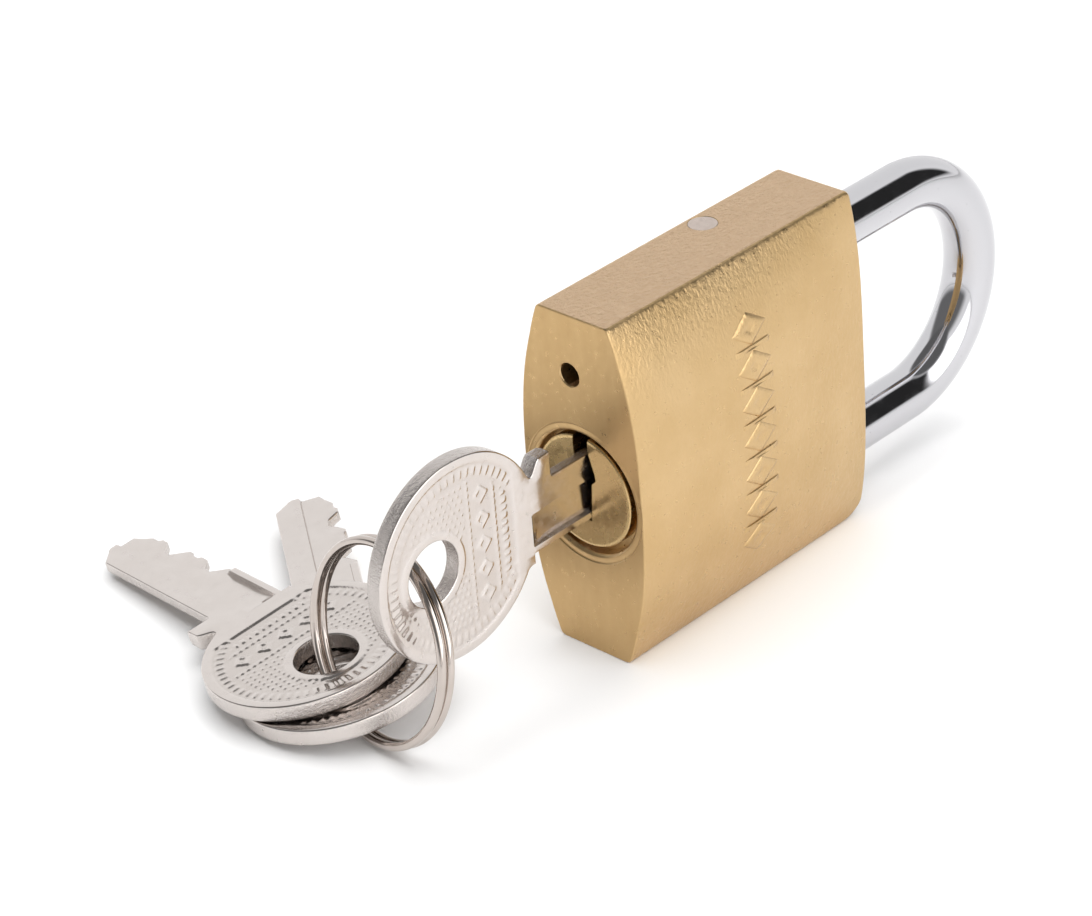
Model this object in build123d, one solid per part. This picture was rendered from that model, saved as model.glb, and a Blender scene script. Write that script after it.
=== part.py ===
"""Solid-brass pin-tumbler padlock, 40 mm class, with its working key, a split ring and two spare keys.

The lock stands on one narrow side. The origin is the middle of that side, +Z up. +X runs from the
keyway end to the shackle end, and the broad faces look along -Y and +Y. Millimetres throughout.
"""

import os
from math import cos, pi, radians, sin, sqrt

from build123d import *

# ---- lock case ----
CASE_LENGTH = 38.5  # keyway end to shackle end
CASE_WIDTH = 40.0  # between the two narrow sides, vertical here
SIDE_THICKNESS = 9.7  # at the narrow sides
CROWN_HALF = 8.76  # half thickness at the thickest place, on the middle line of the broad faces
CROWN_X = 7.0  # that place, from the keyway end
CROWN_CURVE = 0.00227  # per millimetre; the broad faces fall away lengthways towards the shackle
BULGE_POWER = 2.68  # over 2, so that the middle of the face is flatter than an arc
BULGE_POWER_GAIN = 0.9  # the section grows squarer towards the shackle end
BULGE_STATIONS = 11
SECTION_PLACES = (0.0, 10.0, 20.0, 30.0, 38.5)
SECTION_OVERRUN = 1.5
LOWER_SHOULDER_RADIUS = 3.0  # corner beside the shackle's toe
UPPER_SHOULDER_RADIUS = 0.8  # corner beside the shackle's heel
SHACKLE_END_ROUND = 0.5
KEYWAY_END_BREAK = 0.2
X0 = -CASE_LENGTH / 2  # keyway end
X1 = CASE_LENGTH / 2  # shackle end

# ---- plug and its bore ----
PLUG_Z = 19.5
PLUG_R = 6.5
PLUG_BORE_R = 6.53
PLUG_LENGTH = 27.5
CAM_CHAMBER_END = 30.75  # depth of the plug's bore
CHAMBER_END = 34.9  # depth of the narrower chamber that the latch head moves in
CHAMBER_R = 6.0
MOUTH_R = 6.95
MOUTH_DEPTH = 1.0
COUNTERSINK_R = 8.0
COUNTERSINK_DEPTH = 0.45
SLOT_BOTTOM_Z = 16.3
SLOT_HALF = 1.03
SLOT_STEP_Z = 21.0  # below this the slot is narrower on its front side, to suit the key's milled half
SLOT_STEP_Y = -0.6
SLOT_END = 17.6
SLOT_FLARE_Z = 22.6

# ---- pins, springs and chamber plugs ----
PIN_COUNT = 4
PIN_FIRST = 3.5
PIN_PITCH = 3.6
PIN_BORE_R = 1.3
PIN_R = 1.25
PIN_TIP_R = 0.4
SHEAR_Z = PLUG_Z - PLUG_R
KEY_PIN_FOOT_Z = SHEAR_Z + 0.16
DRIVER_TOP_Z = SHEAR_Z - 0.05
DRIVER_LENGTH = 5.0
STOPPER_LENGTH = 2.0
STOPPER_RECESS = 0.06
KEY_PIN_GAP = 0.04  # between a key pin's tip and its cut
DRIVER_CHAMFER = 0.2
DRIVER_COIL_R = 0.85
DRIVER_WIRE_R = 0.16
DRIVER_COIL_TURNS = 6
KEY_CUTS = (1.6, 0.7, 2.1, 1.1)  # depth of the cuts, from the keyway end inwards

# ---- keys ----
BOW_R = 11.26
BOW_HOLE_R = 3.55
BOW_HOLE_OFFSET = -3.74  # along the key from the bow's centre
KEY_THICKNESS = 1.9
KEY_HALF_BLADE = 4.65  # on the side with the cuts
KEY_BLADE_BACK = 2.95  # on the plain side
COLLAR_START = 8.9
COLLAR_END_BACK = 13.8
COLLAR_END_FRONT = 10.5
COLLAR_HALF = 5.85
KEY_LENGTH = 36.1  # bow centre to tip
KEY_TIP_BEVEL = 2.0
KEY_TIP_NOSE = 1.0  # length of the short slope beside the tip
KEY_TIP_DROP = 1.9  # from the uncut edge to the start of that slope
KEY_TIP_DROP_END = 2.4
KEY_WAIST_R = 1.1
KEY_CENTRE_Z = 21.2
KEY_GROOVE_DEPTH = 0.45
KEY_GROOVE_START = 0.0  # the milled half of the blade, from here to the cuts
KEY_TIP_DEPTH = 17.0  # how far past the keyway face the tip stops
CUT_FLAT = 0.5
BOW_X = X0 + KEY_TIP_DEPTH - KEY_LENGTH

# ---- cam, latch and their springs ----
CAM_R = 6.4
CAM_START = 27.6
CAM_LENGTH = 3.0
CAM_THROW = 2.6
CAM_PIN_R = 0.9
CAM_PIN_END = 33.0
CAM_START_ANGLE = -45
CAM_PIN_ROOT = 0.5  # how far the pin is let into the disc
CAM_TONGUE_LENGTH = 1.9
CAM_TONGUE_HALF = 0.95
CAM_TONGUE_REACH = 3.9
CAM_SEAT_LENGTH = 2.0
CAM_SEAT_HALF = 1.0
CAM_SEAT_REACH = 4.0
LATCH_X = 33.0
LATCH_R = 2.0
LATCH_BORE_R = 2.05
LATCH_HEAD_HALF = 2.7
LATCH_HEAD_X = 3.2
LATCH_HEAD_LOW = 14.2
LATCH_HEAD_HIGH = 20.4
LATCH_SLOT = 2.1
LATCH_SLOT_PAST = 0.15  # how far the slot goes past the latch's middle
LATCH_HEAD_ROUND = 0.8
LATCH_NOSE_CHAMFER = 0.3
LATCH_POCKET_R = 1.4
LATCH_POCKET_DEPTH = 1.3
LATCH_SPRING_FOOT = 0.02
LATCH_SPRING_HEAD = 0.03
LATCH_COIL_R = 1.0
LATCH_WIRE_R = 0.2
LATCH_COIL_TURNS = 6
LATCH_PLUG_TOP_Z = 3.6
LATCH_PLUG_FIT = 0.01
LATCH_TRAVEL = CAM_THROW * sqrt(2)

# ---- shackle ----
SHACKLE_R = 3.0
SHACKLE_BORE_R = 3.05
LEG_HALF_SPAN = 13.0
LEG_MID_Z = CASE_WIDTH / 2
TOE_Z = LEG_MID_Z - LEG_HALF_SPAN
HEEL_Z = LEG_MID_Z + LEG_HALF_SPAN
ARCH_X = 52.1  # centre of the arch, from the keyway end
TOE_END = 27.0
TOE_BORE_END = 26.4
HEEL_END = 8.3
HEEL_BORE_END = 3.0
SHACKLE_LIFT = 12.2
NOTCH_DEPTH = 1.0
NOTCH_GAP = 0.1
HEEL_NECK_R = 1.75
HEEL_NECK_START = 10.2
HEEL_NECK_END = 24.8
DRAIN_R = 1.3
DRAIN_Y = 0.8
SHACKLE_COIL_R = 2.2
SHACKLE_WIRE_R = 0.3
SHACKLE_COIL_TURNS = 5
SHACKLE_SPRING_GAP = 0.05
SHACKLE_TOE_CHAMFER = 0.5
RAMP_MARGIN = 0.97  # the notch's ramp is this much shorter than the latch's path, so that it keeps clear

# ---- retaining pins ----
SHACKLE_PIN_X = 23.5
SHACKLE_PIN_Y = 2.77
SHACKLE_PIN_R = 0.9
SHACKLE_PIN_HEAD_R = 1.6
SHACKLE_PIN_HEAD = 1.6
SHACKLE_PIN_LOW_Z = 30.6
PLUG_PIN_X = 22.0
PLUG_PIN_R = 0.65
PLUG_GROOVE_WIDTH = 1.5
PLUG_GROOVE_R = 5.2
PLUG_PIN_GAP = 0.1
PLUG_CHAMFER = 0.25
HEAD_RECESS = 0.03

# ---- split ring and where it hangs ----
RING_R = 10.7
RING_WIRE = 1.0
RING_STACK = 2.0
RING_WEB = 0.8  # of the wire's diameter
RING_CENTRE = Vector(X0 - 24.8, 5.95, 11.45)
RING_AXIS = Vector(-0.97, 0.13, 0.205)

# ---- spare keys as they lie: bow centre, and the level directions of their blades ----
SPARE_NORMAL = Vector(-0.12, 0.10, 0.988)
SPARE_KEY_GAP = 0.2
LOWER_BOW = Vector(X0 - 22.9, 15.1, 3.1)
LOWER_AZIMUTH = 53
UPPER_BOW_XY = (X0 - 23.6, 19.1)
UPPER_AZIMUTH = 83

LIFT_RATIO = SHACKLE_LIFT / LATCH_TRAVEL


def rod(radius, start, end):
    """A cylinder between two points."""
    start, end = Vector(*start), Vector(*end)
    span = end - start
    place = Plane(origin=start, z_dir=span.normalized())
    return place * Cylinder(radius, span.length, align=(Align.CENTER, Align.CENTER, Align.MIN))


def block(low, high):
    """An axis-aligned block between two corners."""
    low, high = Vector(*low), Vector(*high)
    size = high - low
    return Pos(*((low + high) * 0.5)) * Box(size.X, size.Y, size.Z)


def on_axis(along):
    """The point on the plug's axis at this distance from the keyway end."""
    return (X0 + along, 0, PLUG_Z)


def coil(radius, wire_radius, turns, start, axis, length):
    """A compression spring: a round wire wound on a cylinder."""
    rise = length - 2 * wire_radius
    path = Helix(pitch=rise / turns, height=rise, radius=radius)
    section = Plane(origin=path @ 0, z_dir=path % 0) * Circle(wire_radius)
    spring = sweep(section, path=path)
    axis = Vector(*axis)
    return Plane(origin=Vector(*start) + axis * wire_radius, z_dir=axis) * spring


def half_thickness(along, z):
    """Half the case's thickness at this distance from the keyway end, at height z."""
    across = abs(2 * z / CASE_WIDTH - 1)
    bulge = CROWN_HALF - CROWN_CURVE * (along - CROWN_X) ** 2 - SIDE_THICKNESS / 2
    power = BULGE_POWER + BULGE_POWER_GAIN * (along / CASE_LENGTH) ** 2
    return SIDE_THICKNESS / 2 + bulge * (1 - across**power)


def case_section(along):
    """Section across the case, a little taller than the case is wide."""
    span = CASE_WIDTH + 2 * SECTION_OVERRUN
    heights = [span * i / (BULGE_STATIONS - 1) - SECTION_OVERRUN for i in range(BULGE_STATIONS)]
    front = Spline([Vector(X0 + along, -half_thickness(along, z), z) for z in heights])
    back = Spline([Vector(X0 + along, half_thickness(along, z), z) for z in heights])
    return make_face(Wire([front, back, Line(front @ 0, back @ 0), Line(front @ 1, back @ 1)]))


def pin_x(index):
    return X0 + PIN_FIRST + PIN_PITCH * index


def latch_pin_z(turn):
    """Height of the cam's pin after the plug has turned this many degrees."""
    return PLUG_Z + CAM_THROW * sin(radians(CAM_START_ANGLE + turn))


def lock_body():
    envelope = block((X0, -CASE_WIDTH / 2, 0), (X1, CASE_WIDTH / 2, CASE_WIDTH))
    shoulders = envelope.edges().filter_by(Axis.Y).group_by(Axis.X)[-1].sort_by(Axis.Z)
    envelope = fillet(shoulders[0], LOWER_SHOULDER_RADIUS)
    shoulders = envelope.edges().filter_by(Axis.Y).group_by(Axis.X)[-1].sort_by(Axis.Z)
    envelope = fillet(shoulders[-1], UPPER_SHOULDER_RADIUS)
    body = envelope & loft([case_section(along) for along in SECTION_PLACES])
    body = fillet(body.faces().sort_by(Axis.X)[-1].edges(), SHACKLE_END_ROUND)
    body = chamfer(body.faces().sort_by(Axis.X)[0].edges(), KEYWAY_END_BREAK)

    body -= rod(PLUG_BORE_R, on_axis(-1), on_axis(CAM_CHAMBER_END))
    body -= rod(CHAMBER_R, on_axis(0), on_axis(CHAMBER_END))
    body -= rod(MOUTH_R, on_axis(-1), on_axis(MOUTH_DEPTH))
    sink = Cone(COUNTERSINK_R, MOUTH_R, COUNTERSINK_DEPTH, align=(Align.CENTER, Align.CENTER, Align.MIN))
    body -= Plane(origin=on_axis(0), z_dir=(1, 0, 0)) * sink

    body -= rod(SHACKLE_BORE_R, (X1 + 1, 0, TOE_Z), (X0 + TOE_BORE_END, 0, TOE_Z))
    body -= rod(SHACKLE_BORE_R, (X1 + 1, 0, HEEL_Z), (X0 + HEEL_BORE_END, 0, HEEL_Z))
    body -= rod(DRAIN_R, (X0 - 1, DRAIN_Y, HEEL_Z), (X0 + HEEL_BORE_END + 1, DRAIN_Y, HEEL_Z))

    for index in range(PIN_COUNT):
        body -= rod(PIN_BORE_R, (pin_x(index), 0, -1), (pin_x(index), 0, PLUG_Z))
    body -= rod(PLUG_PIN_R, (X0 + PLUG_PIN_X, 0, -1), (X0 + PLUG_PIN_X, 0, PLUG_Z))
    body -= rod(LATCH_BORE_R, (X0 + LATCH_X, 0, -1), (X0 + LATCH_X, 0, PLUG_Z))

    side_x = X0 + SHACKLE_PIN_X
    head_z = CASE_WIDTH - SHACKLE_PIN_HEAD
    pin_foot = (side_x, SHACKLE_PIN_Y, SHACKLE_PIN_LOW_Z)
    pin_top = (side_x, SHACKLE_PIN_Y, CASE_WIDTH + 1)
    body -= rod(SHACKLE_PIN_R, pin_foot, pin_top)
    return body - rod(SHACKLE_PIN_HEAD_R, (side_x, SHACKLE_PIN_Y, head_z), pin_top)


def shackle():
    toe = (X0 + TOE_END, 0, TOE_Z)
    heel = (X0 + HEEL_END, 0, HEEL_Z)
    toe_bend = (X0 + ARCH_X, 0, TOE_Z)
    heel_bend = (X0 + ARCH_X, 0, HEEL_Z)
    crown = (X0 + ARCH_X + LEG_HALF_SPAN, 0, LEG_MID_Z)
    path = Wire([Line(toe, toe_bend), ThreePointArc(toe_bend, crown, heel_bend), Line(heel_bend, heel)])
    bar = sweep(Plane(origin=toe, z_dir=(1, 0, 0)) * Circle(SHACKLE_R), path=path)
    bar = chamfer(bar.faces().sort_by(Axis.X)[0].edges(), SHACKLE_TOE_CHAMFER)
    bar -= heel_neck()
    return bar - toe_notch()


def heel_neck():
    """The sleeve of metal turned off the heel, so that the lock's side pin runs beside the neck."""
    start = (X0 + HEEL_NECK_START, 0, HEEL_Z)
    end = (X0 + HEEL_NECK_END, 0, HEEL_Z)
    return rod(SHACKLE_R + 1, start, end) - rod(HEEL_NECK_R, start, end)


def toe_notch():
    """A notch for the latch, with a ramp on its toe side that keeps clear of the rising latch."""
    floor_z = TOE_Z + SHACKLE_R - NOTCH_DEPTH
    near = X0 + LATCH_X + LATCH_R + NOTCH_GAP
    far = X0 + LATCH_X - LATCH_R - NOTCH_GAP
    top_z = TOE_Z + SHACKLE_R + 1
    ramp = (top_z - floor_z) * LIFT_RATIO * RAMP_MARGIN
    points = [(near, floor_z), (near, top_z), (far - ramp, top_z), (far, floor_z)]
    outline = Polyline([Vector(x, -SHACKLE_R - 1, z) for x, z in points], close=True)
    return extrude(make_face(outline), amount=2 * SHACKLE_R + 2, dir=(0, 1, 0))


def plug():
    core = rod(PLUG_R, on_axis(0), on_axis(PLUG_LENGTH))
    core = chamfer(core.edges().filter_by(GeomType.CIRCLE), PLUG_CHAMFER)
    slot = block((X0 - 1, SLOT_STEP_Y, SLOT_BOTTOM_Z), (X0 + SLOT_END, SLOT_HALF, PLUG_Z + PLUG_R + 1))
    slot += block((X0 - 1, -SLOT_HALF, SLOT_STEP_Z), (X0 + SLOT_END, SLOT_HALF, PLUG_Z + PLUG_R + 1))
    flare = block((X0 - 1, -2 * SLOT_HALF, SLOT_FLARE_Z), (X0 + SLOT_END, 0, PLUG_Z + PLUG_R + 1))
    core -= slot + flare
    for index in range(PIN_COUNT):
        core -= rod(PIN_BORE_R, (pin_x(index), 0, SHEAR_Z - 1), (pin_x(index), 0, PLUG_Z + 1))
    groove_low = on_axis(PLUG_PIN_X - PLUG_GROOVE_WIDTH / 2)
    groove_high = on_axis(PLUG_PIN_X + PLUG_GROOVE_WIDTH / 2)
    core -= rod(PLUG_R + 1, groove_low, groove_high) - rod(PLUG_GROOVE_R, groove_low, groove_high)
    cam_seat = block(
        (X0 + PLUG_LENGTH - CAM_SEAT_LENGTH, -CAM_SEAT_HALF, PLUG_Z - CAM_SEAT_REACH),
        (X0 + PLUG_LENGTH + 1, CAM_SEAT_HALF, PLUG_Z + CAM_SEAT_REACH),
    )
    return core - cam_seat


def plug_cam():
    disc = rod(CAM_R, on_axis(CAM_START), on_axis(CAM_START + CAM_LENGTH))
    tongue = block(
        (X0 + PLUG_LENGTH - CAM_TONGUE_LENGTH, -CAM_TONGUE_HALF, PLUG_Z - CAM_TONGUE_REACH),
        (X0 + CAM_START, CAM_TONGUE_HALF, PLUG_Z + CAM_TONGUE_REACH),
    )
    pin_y = CAM_THROW * cos(radians(CAM_START_ANGLE))
    pin_start = (X0 + CAM_START + CAM_LENGTH - CAM_PIN_ROOT, pin_y, latch_pin_z(0))
    pin_end = (X0 + CAM_PIN_END, pin_y, latch_pin_z(0))
    return disc + tongue + rod(CAM_PIN_R, pin_start, pin_end)


def latch_bolt():
    floor_z = TOE_Z + SHACKLE_R - NOTCH_DEPTH + NOTCH_GAP
    x = X0 + LATCH_X
    nose = rod(LATCH_R, (x, 0, floor_z), (x, 0, LATCH_HEAD_LOW + 1))
    nose = chamfer(nose.edges().filter_by(GeomType.CIRCLE).sort_by(Axis.Z)[0], LATCH_NOSE_CHAMFER)
    head = block(
        (x - LATCH_HEAD_X / 2, -LATCH_HEAD_HALF, LATCH_HEAD_LOW),
        (x + LATCH_HEAD_X / 2, LATCH_HEAD_HALF, LATCH_HEAD_HIGH),
    )
    head = fillet(head.edges().filter_by(Axis.X), LATCH_HEAD_ROUND)
    slot = block(
        (x - LATCH_HEAD_X, -LATCH_HEAD_HALF - 1, latch_pin_z(0) - LATCH_SLOT / 2),
        (x + LATCH_SLOT_PAST, LATCH_HEAD_HALF + 1, latch_pin_z(0) + LATCH_SLOT / 2),
    )
    pocket = rod(LATCH_POCKET_R, (x, 0, LATCH_HEAD_HIGH - LATCH_POCKET_DEPTH), (x, 0, LATCH_HEAD_HIGH + 1))
    return nose + head - slot - pocket


def chamber_parts(index):
    """The stack in one pin chamber: key pin, driver pin, driver spring and the stopper that closes it."""
    x = pin_x(index)
    root_z = KEY_CENTRE_Z - KEY_HALF_BLADE + KEY_CUTS[index]
    tip_z = root_z - KEY_PIN_GAP
    cone = PIN_R - PIN_TIP_R
    key_pin = rod(PIN_R, (x, 0, KEY_PIN_FOOT_Z), (x, 0, tip_z))
    key_pin = chamfer(key_pin.edges().filter_by(GeomType.CIRCLE).sort_by(Axis.Z)[-1], cone)
    driver_low = DRIVER_TOP_Z - DRIVER_LENGTH
    driver = rod(PIN_R, (x, 0, driver_low), (x, 0, DRIVER_TOP_Z))
    driver = chamfer(driver.edges().filter_by(GeomType.CIRCLE), DRIVER_CHAMFER)
    stopper_top = STOPPER_RECESS + STOPPER_LENGTH
    length = driver_low - stopper_top
    spring = coil(DRIVER_COIL_R, DRIVER_WIRE_R, DRIVER_COIL_TURNS, (x, 0, stopper_top), (0, 0, 1), length)
    stopper = rod(PIN_BORE_R, (x, 0, STOPPER_RECESS), (x, 0, stopper_top))
    return {"key_pin": key_pin, "driver_pin": driver, "driver_spring": spring, "chamber_plug": stopper}


def key():
    """A key in its own frame: bow centre at the origin, blade along +X, cuts towards +Y, flat in XY."""
    low = -KEY_THICKNESS / 2
    plate = Cylinder(BOW_R, KEY_THICKNESS)
    collar = Polyline(
        (0, -COLLAR_HALF),
        (COLLAR_END_BACK, -COLLAR_HALF),
        (COLLAR_END_BACK, -KEY_BLADE_BACK),
        (COLLAR_END_FRONT, KEY_HALF_BLADE),
        (COLLAR_END_FRONT, COLLAR_HALF),
        (0, COLLAR_HALF),
        close=True,
    )
    plate += Pos(0, 0, low) * extrude(make_face(collar), amount=KEY_THICKNESS)
    blade = Polyline(blade_outline(), close=True)
    plate += Pos(0, 0, low) * extrude(make_face(blade), amount=KEY_THICKNESS)
    for side in (-1, 1):
        waist = Cylinder(KEY_WAIST_R, KEY_THICKNESS * 2)
        plate -= Pos(COLLAR_START, side * (COLLAR_HALF + KEY_WAIST_R), 0) * waist
    plate -= Pos(BOW_HOLE_OFFSET, 0, 0) * Cylinder(BOW_HOLE_R, KEY_THICKNESS * 2)
    face = KEY_THICKNESS / 2
    return plate - block(
        (COLLAR_END_FRONT, KEY_GROOVE_START, face - KEY_GROOVE_DEPTH), (KEY_LENGTH + 1, COLLAR_HALF, face + 1)
    )


def blade_outline():
    """Corners of the blade: straight back, pointed tip, and a flat-bottomed cut for each pin."""
    points = [(COLLAR_START, -KEY_BLADE_BACK), (KEY_LENGTH - KEY_TIP_BEVEL, -KEY_BLADE_BACK)]
    points += [(KEY_LENGTH, -KEY_BLADE_BACK + KEY_TIP_BEVEL), (KEY_LENGTH, KEY_HALF_BLADE - KEY_TIP_DROP_END)]
    points += [(KEY_LENGTH - KEY_TIP_NOSE, KEY_HALF_BLADE - KEY_TIP_DROP)]
    for index in reversed(range(PIN_COUNT)):
        along = pin_x(index) - BOW_X
        deep = KEY_CUTS[index]
        points.append((along + CUT_FLAT, KEY_HALF_BLADE - deep))
        points.append((along - CUT_FLAT, KEY_HALF_BLADE - deep))
        if index:
            shallow = min(deep, KEY_CUTS[index - 1])
            room = (PIN_PITCH - 2 * CUT_FLAT - abs(deep - KEY_CUTS[index - 1])) / 2
            crest = shallow - max(min(shallow, room), 0) / 2
            points.append((along - CUT_FLAT - (deep - crest), KEY_HALF_BLADE - crest))
            next_flat = pin_x(index - 1) - BOW_X + CUT_FLAT
            points.append((next_flat + (KEY_CUTS[index - 1] - crest), KEY_HALF_BLADE - crest))
    first = pin_x(0) - BOW_X - CUT_FLAT
    points += [(first - KEY_CUTS[0], KEY_HALF_BLADE), (COLLAR_START, KEY_HALF_BLADE)]
    return points


def level_direction(azimuth):
    """The direction with this azimuth that lies in the plane of the spare keys."""
    flat = Vector(cos(radians(azimuth)), sin(radians(azimuth)), 0)
    drop = -flat.dot(SPARE_NORMAL) / SPARE_NORMAL.Z
    return Vector(flat.X, flat.Y, drop).normalized()


def upper_bow():
    """Bow centre of the upper spare key, one plate and a gap above the lower one."""
    normal = SPARE_NORMAL.normalized()
    apart = KEY_THICKNESS + SPARE_KEY_GAP
    dx = UPPER_BOW_XY[0] - LOWER_BOW.X
    dy = UPPER_BOW_XY[1] - LOWER_BOW.Y
    rise = (apart - normal.X * dx - normal.Y * dy) / normal.Z
    return Vector(*UPPER_BOW_XY, LOWER_BOW.Z + rise)


def keys():
    shape = key()
    upright = Plane(origin=(BOW_X, 0, KEY_CENTRE_Z), x_dir=(1, 0, 0), z_dir=(0, -1, 0))
    working = upright * mirror(shape, Plane.XZ)
    down = SPARE_NORMAL.normalized() * -1
    lower = Plane(origin=LOWER_BOW, x_dir=level_direction(LOWER_AZIMUTH), z_dir=down) * shape
    upper = Plane(origin=upper_bow(), x_dir=level_direction(UPPER_AZIMUTH), z_dir=down) * shape
    return {"working_key": working, "spare_key_1": upper, "spare_key_2": lower}


def key_ring():
    """The split ring, closed: two turns of wire side by side."""
    turn = Circle(RING_WIRE / 2)
    gap = (RING_STACK - RING_WIRE) / 2
    web = Rectangle(RING_WIRE * RING_WEB, RING_STACK - RING_WIRE)
    section = Pos(RING_R, gap) * turn + Pos(RING_R, -gap) * turn + Pos(RING_R, 0) * web
    ring = revolve(Plane.XZ * section, Axis.Z)
    return Plane(origin=RING_CENTRE, z_dir=RING_AXIS.normalized()) * ring


def shackle_spring():
    start = X0 + HEEL_BORE_END + SHACKLE_SPRING_GAP
    length = X0 + HEEL_END - start - SHACKLE_SPRING_GAP
    return coil(SHACKLE_COIL_R, SHACKLE_WIRE_R, SHACKLE_COIL_TURNS, (start, 0, HEEL_Z), (1, 0, 0), length)


def latch_spring():
    low = LATCH_HEAD_HIGH - LATCH_POCKET_DEPTH + LATCH_SPRING_FOOT
    chamber_top = PLUG_Z + sqrt(CHAMBER_R**2 - LATCH_POCKET_DEPTH**2)
    length = chamber_top - low - LATCH_SPRING_HEAD
    return coil(LATCH_COIL_R, LATCH_WIRE_R, LATCH_COIL_TURNS, (X0 + LATCH_X, 0, low), (0, 0, 1), length)


def latch_bore_plug():
    x = X0 + LATCH_X
    return rod(LATCH_BORE_R - LATCH_PLUG_FIT, (x, 0, STOPPER_RECESS), (x, 0, LATCH_PLUG_TOP_Z))


def plug_retaining_pin():
    x = X0 + PLUG_PIN_X
    return rod(PLUG_PIN_R, (x, 0, STOPPER_RECESS), (x, 0, PLUG_Z - PLUG_GROOVE_R - PLUG_PIN_GAP))


def shackle_retaining_pin():
    x = X0 + SHACKLE_PIN_X
    foot = (x, SHACKLE_PIN_Y, SHACKLE_PIN_LOW_Z)
    head_low = (x, SHACKLE_PIN_Y, CASE_WIDTH - SHACKLE_PIN_HEAD)
    head_high = (x, SHACKLE_PIN_Y, CASE_WIDTH - HEAD_RECESS)
    return rod(SHACKLE_PIN_R, foot, head_high) + rod(SHACKLE_PIN_HEAD_R, head_low, head_high)


def all_parts():
    parts = {
        "lock_body": lock_body(),
        "shackle": shackle(),
        "plug": plug(),
        "plug_cam": plug_cam(),
        "latch_bolt": latch_bolt(),
        "key_ring": key_ring(),
        "shackle_spring": shackle_spring(),
        "latch_spring": latch_spring(),
        "latch_bore_plug": latch_bore_plug(),
        "plug_retaining_pin": plug_retaining_pin(),
        "shackle_retaining_pin": shackle_retaining_pin(),
    }
    for index in range(PIN_COUNT):
        for name, piece in chamber_parts(index).items():
            parts[f"{name}_{index + 1}"] = piece
    parts.update(keys())
    return parts


os.makedirs("parts", exist_ok=True)
for node, piece in all_parts().items():
    export_step(piece, f"parts/{node}.step")
hinge_point = Plane(origin=(BOW_X, 0, KEY_CENTRE_Z)).from_local_coords(Vector(BOW_HOLE_OFFSET, 0, 0))
print("working key hole", hinge_point)
for label, centre, azimuth in (("upper", upper_bow(), UPPER_AZIMUTH), ("lower", LOWER_BOW, LOWER_AZIMUTH)):
    hole = centre + level_direction(azimuth) * BOW_HOLE_OFFSET
    print(label, "spare key hole", hole, "axis", SPARE_NORMAL.normalized())
print("latch travel", LATCH_TRAVEL, "per radian", LATCH_TRAVEL / (pi / 2))
print("shackle lift", SHACKLE_LIFT, "per radian", SHACKLE_LIFT / (pi / 2))
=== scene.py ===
import math

import bmesh
import bpy
from mathutils import Matrix, Vector
from mathutils.geometry import delaunay_2d_cdt


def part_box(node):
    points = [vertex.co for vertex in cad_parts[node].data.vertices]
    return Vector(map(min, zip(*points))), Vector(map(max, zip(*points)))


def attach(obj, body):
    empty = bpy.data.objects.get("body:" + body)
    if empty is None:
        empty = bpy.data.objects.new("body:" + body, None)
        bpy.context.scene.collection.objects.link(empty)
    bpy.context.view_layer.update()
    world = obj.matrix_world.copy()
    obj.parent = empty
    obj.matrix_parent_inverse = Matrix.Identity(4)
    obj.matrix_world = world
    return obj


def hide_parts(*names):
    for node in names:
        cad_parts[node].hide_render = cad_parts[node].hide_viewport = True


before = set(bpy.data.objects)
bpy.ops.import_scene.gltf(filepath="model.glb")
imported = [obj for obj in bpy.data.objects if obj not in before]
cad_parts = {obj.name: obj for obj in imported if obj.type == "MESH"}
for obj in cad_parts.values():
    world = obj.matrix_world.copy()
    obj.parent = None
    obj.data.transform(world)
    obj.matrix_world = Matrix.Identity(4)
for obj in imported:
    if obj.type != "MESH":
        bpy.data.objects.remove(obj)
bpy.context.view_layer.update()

MM = 0.001

# ---- the lock case, in millimetres, with the keyway end at KEYWAY_X ----
CASE_LOW, CASE_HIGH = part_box("lock_body")
KEYWAY_X = CASE_LOW[0] / MM
CASE_LENGTH = (CASE_HIGH[0] - CASE_LOW[0]) / MM
CASE_WIDTH = (CASE_HIGH[2] - CASE_LOW[2]) / MM
SIDE_HALF = 4.85  # half thickness at the narrow sides
EMBOSS = 0.16  # height of the raised pattern, taken off the case so that both stay inside its box
CROWN_HALF = (CASE_HIGH[1] - CASE_LOW[1]) / MM / 2 - EMBOSS
CROWN_X = 7.0
CROWN_CURVE = 0.00227
BULGE_POWER = 2.68
BULGE_POWER_GAIN = 0.9
LOWER_SHOULDER_R = 3.0
UPPER_SHOULDER_R = 0.8
SHACKLE_END_R = 0.5
KEYWAY_END_R = 0.16
LONG_EDGE_R = 0.45
CASE_SHARP = 28  # degrees; edges sharper than this stay crisp
KEYWAY_ROLL = 0.3  # how far polishing has drawn in the broad faces at the keyway end
KEYWAY_ROLL_REACH = 5.5
KEYWAY_ROLL_MARGIN = 4  # it fades out this far from the narrow sides
PLUG_Z = 19.5
PLUG_R = 6.5
PLUG_GROOVE_R = 5.2
PLUG_LENGTH = 27.5
SLOT_END = 17.6
PIN_COUNT = 4
PIN_BORE_R = 1.3
PLUG_PIN_X = 22.0
LATCH_X = 33.0
SIDE_PIN_X, SIDE_PIN_Y = 23.5, 2.77
DRAIN_Y = 0.8
BORE_DEPTH = 14  # of the bores in the lower narrow side, as far as they show

# ---- the shackle ----
BAR_R = 3.0
LEG_HALF_SPAN = 13.0
ARCH_X = 52.1
HEEL_Z = 33.0
TOE_Z = 7.0
TOE_END = 27.0
HEEL_END = 8.3
HEEL_NECK_R = 1.75
HEEL_NECK_START, HEEL_NECK_END = 10.2, 24.8
NOTCH_DEPTH = 1.0
NOTCH_NEAR, NOTCH_FAR = 35.1, 30.9
NOTCH_RAMP = 3.22  # length of the notch's ramp for each millimetre of its height

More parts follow.
